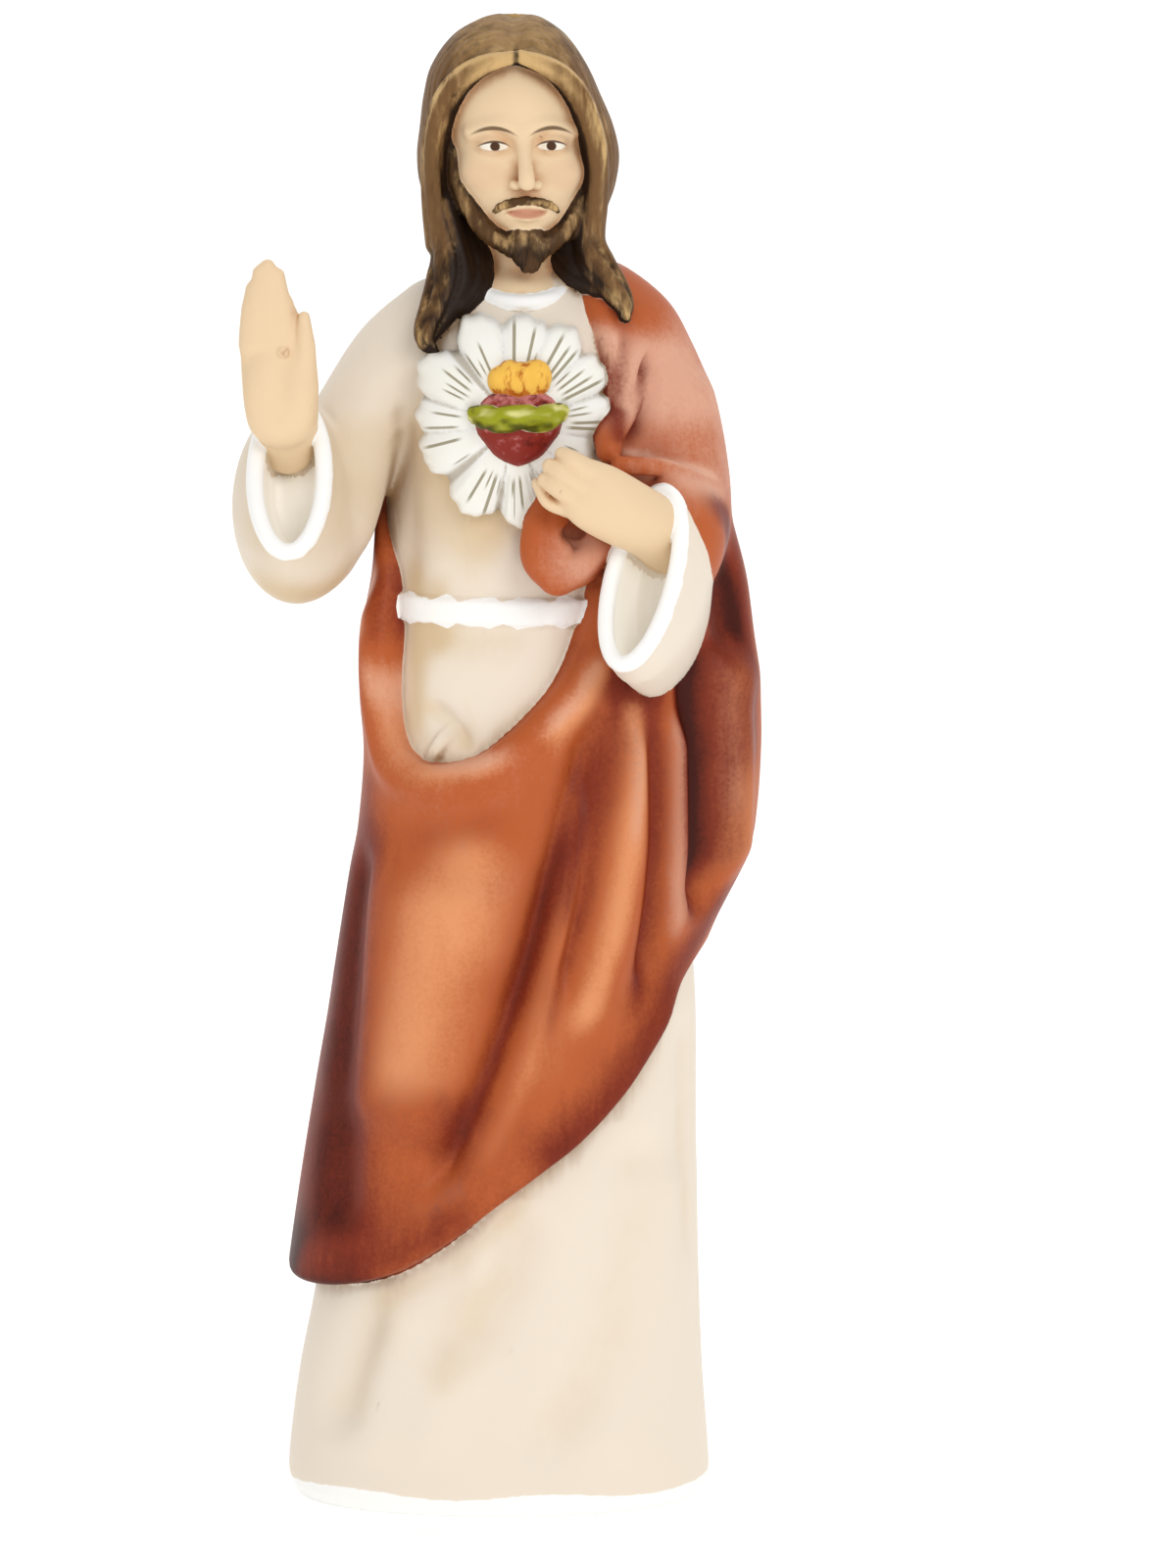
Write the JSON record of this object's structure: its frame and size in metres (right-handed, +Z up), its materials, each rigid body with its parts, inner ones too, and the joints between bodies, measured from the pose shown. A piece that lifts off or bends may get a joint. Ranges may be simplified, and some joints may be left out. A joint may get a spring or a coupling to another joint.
{
  "type": "sacred heart statue",
  "caption": "Painted cast figurine of a robed, bearded man with one hand raised and the other pointing to a flaming heart on the chest.",
  "frame": {"origin": "middle of the flat underside, where the statue stands", "axes": "+Z up along the figure, the figure faces -Y, and +X is the figure's left"},
  "size_m": [0.042, 0.0285, 0.12],
  "materials": {
    "painted_resin": "hand-painted satin acrylic: terracotta mantle with dark washes and dry-brushed ridges, cream tunic with white trims, light skin, brown hair"
  },
  "bodies": {
    "root": {"sacred_heart_statue": "painted_resin"}
  },
  "joints": []
}
